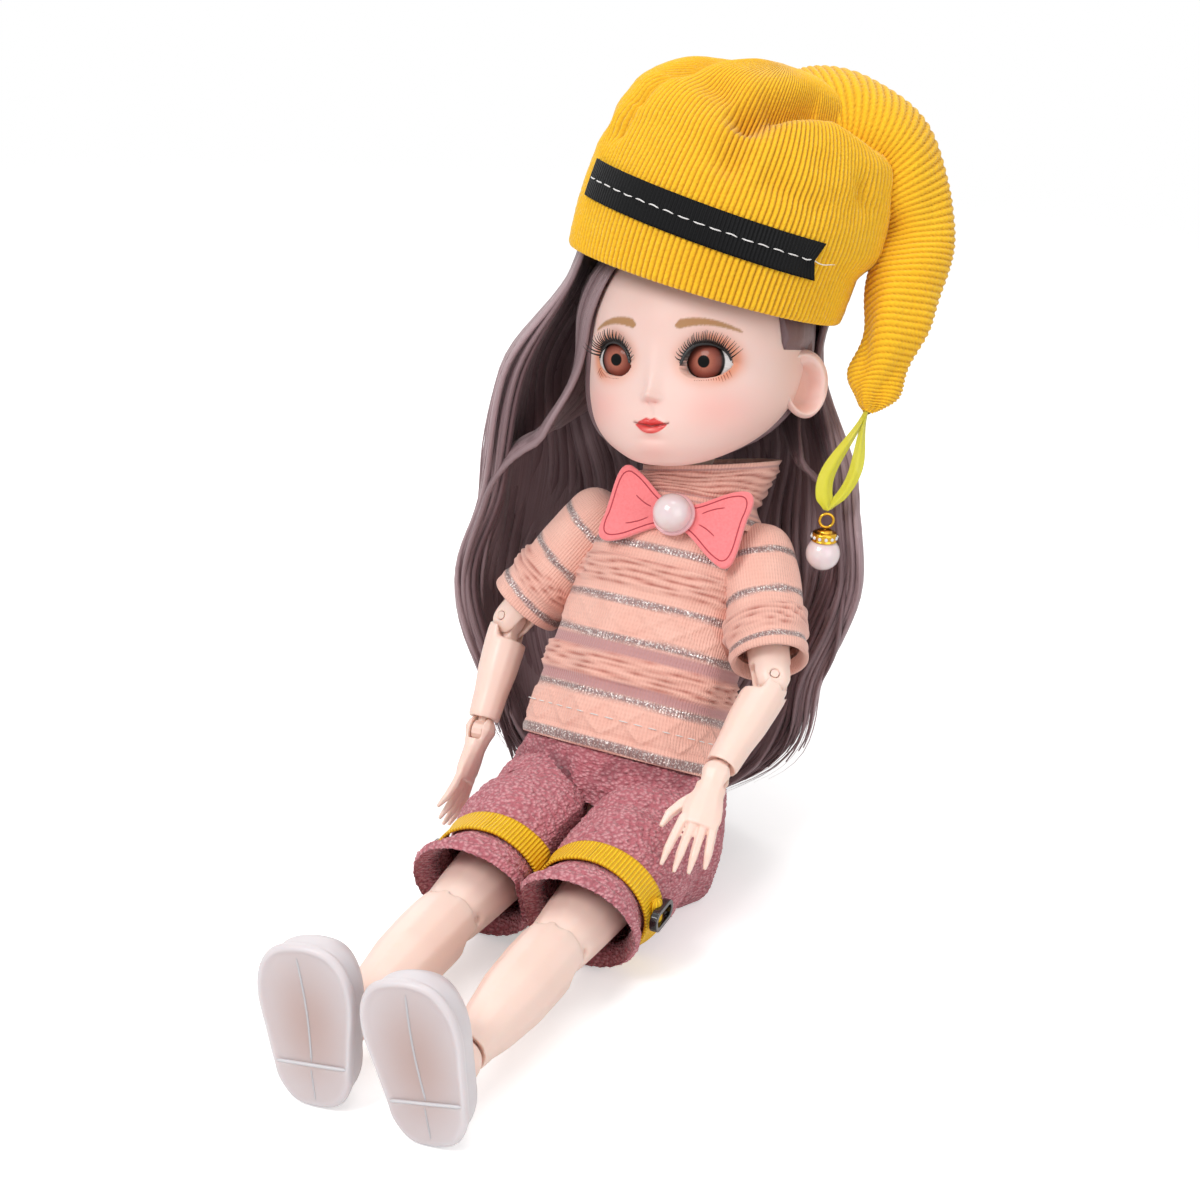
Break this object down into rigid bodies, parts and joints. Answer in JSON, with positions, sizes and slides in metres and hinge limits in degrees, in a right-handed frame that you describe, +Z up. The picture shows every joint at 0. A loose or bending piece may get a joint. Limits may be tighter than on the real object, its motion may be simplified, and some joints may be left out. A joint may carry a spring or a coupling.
{
  "type": "fashion doll",
  "caption": "Seated ball-jointed fashion doll with a long wig, slouching corduroy hat, striped knit top, cuffed shorts and slip-on shoes.",
  "frame": {"origin": "middle of the flat seat under the shorts, on the surface the doll sits on, below the hip axis", "axes": "+Z up, -Y the way the doll faces with its legs stretched out, +X to the left hand"},
  "size_m": [0.1101, 0.2204, 0.2005],
  "materials": {
    "limb": "satin peach vinyl",
    "face": "matt pale peach vinyl, painted",
    "eye": "clear-domed red-brown",
    "hair": "combed synthetic fibre, mauve brown",
    "knit": "striped knit with glitter thread",
    "terry": "dusty rose terry",
    "strap": "yellow ribbed ribbon",
    "band": "black ribbed ribbon",
    "buckle": "black",
    "felt": "coral pink felt",
    "pearl": "pearl",
    "corduroy": "golden yellow corduroy",
    "organza": "sheer lime-yellow ribbon",
    "gold": "polished gold colour",
    "pin": "plain steel pin",
    "shoe": "translucent lilac-grey soft vinyl"
  },
  "bodies": {
    "pelvis": {"pelvis": "limb", "shorts_seat": "terry"},
    "waist_knuckle": {"waist_knuckle": "limb"},
    "chest": {"chest": "limb", "sweater": "knit", "collar": "knit", "bow": "felt", "bow_pearl": "pearl"},
    "neck": {"neck": "limb"},
    "head_knuckle": {"head_knuckle": "limb"},
    "head": {"face": "face", "head_cap": "face", "eye_left": "eye", "eye_right": "eye", "wig": "hair", "hair_fall": "hair", "hat_crown": "corduroy", "hat_band": "band", "hat_tail": "corduroy", "tail_ribbon": "organza", "pendant_ring": "gold", "pendant_cap": "gold", "pendant_pearl": "pearl"},
    "shoulder_knuckle_left": {"shoulder_knuckle_left": "limb"},
    "arm_socket_left": {"arm_socket_left": "limb"},
    "upper_arm_left": {"upper_arm_left": "limb", "elbow_pin_left": "pin", "sleeve_left": "knit"},
    "forearm_left": {"forearm_left": "limb"},
    "wrist_knuckle_left": {"wrist_knuckle_left": "limb"},
    "hand_left": {"hand_left": "limb"},
    "hip_knuckle_left": {"hip_knuckle_left": "limb"},
    "thigh_left": {"thigh_left": "limb", "knee_pin_left": "pin", "shorts_leg_left": "terry", "strap_left": "strap", "buckle_left": "buckle"},
    "shin_left": {"shin_left": "limb"},
    "ankle_knuckle_left": {"ankle_knuckle_left": "limb"},
    "foot_left": {"foot_left": "limb", "shoe_left": "shoe"},
    "shoulder_knuckle_right": {"shoulder_knuckle_right": "limb"},
    "arm_socket_right": {"arm_socket_right": "limb"},
    "upper_arm_right": {"upper_arm_right": "limb", "elbow_pin_right": "pin", "sleeve_right": "knit"},
    "forearm_right": {"forearm_right": "limb"},
    "wrist_knuckle_right": {"wrist_knuckle_right": "limb"},
    "hand_right": {"hand_right": "limb"},
    "hip_knuckle_right": {"hip_knuckle_right": "limb"},
    "thigh_right": {"thigh_right": "limb", "knee_pin_right": "pin", "shorts_leg_right": "terry", "strap_right": "strap", "buckle_right": "buckle"},
    "shin_right": {"shin_right": "limb"},
    "ankle_knuckle_right": {"ankle_knuckle_right": "limb"},
    "foot_right": {"foot_right": "limb", "shoe_right": "shoe"}
  },
  "joints": [
    {"name": "waist_bend", "type": "hinge", "parent": "pelvis", "child": "waist_knuckle", "pos_m": [0, 0.01154, 0.04241], "axis": [1, 0, 0], "range_deg": [-12, 4], "deforming": ["shorts_seat", "sweater", "collar", "sleeve_left", "sleeve_right", "hair_fall", "tail_ribbon"]},
    {"name": "waist_twist", "type": "hinge", "parent": "waist_knuckle", "child": "chest", "pos_m": [0, 0.01154, 0.04241], "axis": [0, 0.4274, 0.9041], "range_deg": [-15, 15], "deforming": ["shorts_seat", "sweater", "collar", "sleeve_left", "sleeve_right", "hair_fall", "tail_ribbon"]},
    {"name": "neck_bend", "type": "hinge", "parent": "chest", "child": "neck", "pos_m": [0, 0.03581, 0.09376], "axis": [1, 0, 0], "range_deg": [-12, 6], "deforming": ["collar", "sweater", "bow", "hair_fall", "tail_ribbon"]},
    {"name": "head_tilt", "type": "hinge", "parent": "neck", "child": "head_knuckle", "pos_m": [0, 0.03843, 0.10547], "axis": [0, 0.9759, -0.2181], "range_deg": [-6, 8], "deforming": ["collar", "sweater", "bow", "sleeve_left", "hair_fall", "tail_ribbon"]},
    {"name": "head_turn", "type": "hinge", "parent": "head_knuckle", "child": "head", "pos_m": [0, 0.03843, 0.10547], "axis": [-0.1513, 0.2156, 0.9647], "range_deg": [-25, 25], "deforming": ["collar", "sweater", "bow", "hair_fall", "tail_ribbon"]},
    {"name": "shoulder_swing_left", "type": "hinge", "parent": "chest", "child": "shoulder_knuckle_left", "pos_m": [0.023, 0.03034, 0.08219], "axis": [1, 0, 0], "range_deg": [-80, 2], "deforming": ["sleeve_left", "sweater", "hair_fall", "shorts_seat", "shorts_leg_left"]},
    {"name": "shoulder_lift_left", "type": "hinge", "parent": "shoulder_knuckle_left", "child": "arm_socket_left", "pos_m": [0.023, 0.03034, 0.08219], "axis": [0, -0.7083, 0.7059], "range_deg": [-4, 45], "deforming": ["sleeve_left", "sweater", "hair_fall", "shorts_seat", "shorts_leg_left"]},
    {"name": "arm_turn_left", "type": "hinge", "parent": "arm_socket_left", "child": "upper_arm_left", "pos_m": [0.023, 0.03034, 0.08219], "axis": [-0.4384, 0.6344, 0.6367], "range_deg": [-20, 20], "deforming": ["sleeve_left", "sweater", "hair_fall", "shorts_seat", "shorts_leg_left"]},
    {"name": "elbow_bend_left", "type": "hinge", "parent": "upper_arm_left", "child": "forearm_left", "pos_m": [0.03769, 0.00909, 0.06086], "axis": [-0.3483, 0.5331, -0.771], "range_deg": [-30, 55], "deforming": ["sleeve_left", "shorts_seat", "shorts_leg_left"]},
    {"name": "wrist_turn_left", "type": "hinge", "parent": "forearm_left", "child": "wrist_knuckle_left", "pos_m": [0.03542, -0.01599, 0.04455], "axis": [0.0755, 0.8358, 0.5438], "range_deg": [-40, 40]},
    {"name": "wrist_bend_left", "type": "hinge", "parent": "wrist_knuckle_left", "child": "hand_left", "pos_m": [0.03542, -0.01599, 0.04455], "axis": [0.2639, -0.5426, 0.7974], "range_deg": [-30, 30], "deforming": ["shorts_seat", "shorts_leg_left"]},
    {"name": "hip_swing_left", "type": "hinge", "parent": "pelvis", "child": "hip_knuckle_left", "pos_m": [0.014, 0, 0.018], "axis": [1, 0, 0], "range_deg": [-5, 80], "deforming": ["shorts_seat", "shorts_leg_left", "shorts_leg_right", "sweater", "hair_fall"]},
    {"name": "hip_spread_left", "type": "hinge", "parent": "hip_knuckle_left", "child": "thigh_left", "pos_m": [0.014, 0, 0.018], "axis": [0, -0.0523, 0.9986], "range_deg": [0, 11], "deforming": ["shorts_seat", "shorts_leg_left"]},
    {"name": "knee_bend_left", "type": "hinge", "parent": "thigh_left", "child": "shin_left", "pos_m": [0.01863, -0.06144, 0.01478], "axis": [0.9972, 0.0749, 0.0039], "range_deg": [0, 80], "deforming": ["shorts_leg_left"]},
    {"name": "ankle_turn_left", "type": "hinge", "parent": "shin_left", "child": "ankle_knuckle_left", "pos_m": [0.02246, -0.11233, 0.01211], "axis": [-0.075, 0.9958, 0.0522], "range_deg": [-4, 20]},
    {"name": "ankle_bend_left", "type": "hinge", "parent": "ankle_knuckle_left", "child": "foot_left", "pos_m": [0.02246, -0.11233, 0.01211], "axis": [0.9782, 0.0633, 0.1978], "range_deg": [-15, 15]},
    {"name": "shoulder_swing_right", "type": "hinge", "parent": "chest", "child": "shoulder_knuckle_right", "pos_m": [-0.023, 0.03034, 0.08219], "axis": [1, 0, 0], "range_deg": [-80, 4], "deforming": ["sleeve_right", "sweater", "hair_fall", "shorts_seat", "shorts_leg_right"]},
    {"name": "shoulder_lift_right", "type": "hinge", "parent": "shoulder_knuckle_right", "child": "arm_socket_right", "pos_m": [-0.023, 0.03034, 0.08219], "axis": [0, 0.9291, -0.3697], "range_deg": [-5, 45], "deforming": ["sleeve_right", "sweater", "hair_fall", "shorts_seat", "shorts_leg_right"]},
    {"name": "arm_turn_right", "type": "hinge", "parent": "arm_socket_right", "child": "upper_arm_right", "pos_m": [-0.023, 0.03034, 0.08219], "axis": [0.5195, 0.3159, 0.7939], "range_deg": [-20, 20], "deforming": ["sleeve_right", "sweater", "hair_fall", "shorts_seat", "shorts_leg_right"]},
    {"name": "elbow_bend_right", "type": "hinge", "parent": "upper_arm_right", "child": "forearm_right", "pos_m": [-0.0404, 0.01976, 0.05559], "axis": [-0.302, -0.8013, 0.5165], "range_deg": [-30, 12], "deforming": ["sleeve_right", "shorts_seat", "shorts_leg_right"]},
    {"name": "wrist_turn_right", "type": "hinge", "parent": "forearm_right", "child": "wrist_knuckle_right", "pos_m": [-0.03927, 0.00321, 0.03059], "axis": [-0.0379, 0.5515, 0.8333], "range_deg": [-40, 40]},
    {"name": "wrist_bend_right", "type": "hinge", "parent": "wrist_knuckle_right", "child": "hand_right", "pos_m": [-0.03927, 0.00321, 0.03059], "axis": [-0.9984, -0.0559, -0.0084], "range_deg": [-30, 30], "deforming": ["shorts_seat", "shorts_leg_right"]},
    {"name": "hip_swing_right", "type": "hinge", "parent": "pelvis", "child": "hip_knuckle_right", "pos_m": [-0.014, 0, 0.018], "axis": [1, 0, 0], "range_deg": [-5, 80], "deforming": ["shorts_seat", "shorts_leg_right", "shorts_leg_left", "sweater", "hair_fall"]},
    {"name": "hip_spread_right", "type": "hinge", "parent": "hip_knuckle_right", "child": "thigh_right", "pos_m": [-0.014, 0, 0.018], "axis": [0, 0.0523, -0.9986], "range_deg": [0, 20], "deforming": ["shorts_seat", "shorts_leg_right"]},
    {"name": "knee_bend_right", "type": "hinge", "parent": "thigh_right", "child": "shin_right", "pos_m": [-0.00937, -0.06144, 0.01478], "axis": [0.9972, 0.0749, 0.0039], "range_deg": [0, 80], "deforming": ["shorts_leg_right"]},
    {"name": "ankle_turn_right", "type": "hinge", "parent": "shin_right", "child": "ankle_knuckle_right", "pos_m": [-0.00554, -0.11233, 0.01211], "axis": [-0.075, 0.9958, 0.0522], "range_deg": [-20, 4]},
    {"name": "ankle_bend_right", "type": "hinge", "parent": "ankle_knuckle_right", "child": "foot_right", "pos_m": [-0.00554, -0.11233, 0.01211], "axis": [0.9887, 0.0674, 0.1342], "range_deg": [-15, 15]}
  ]
}
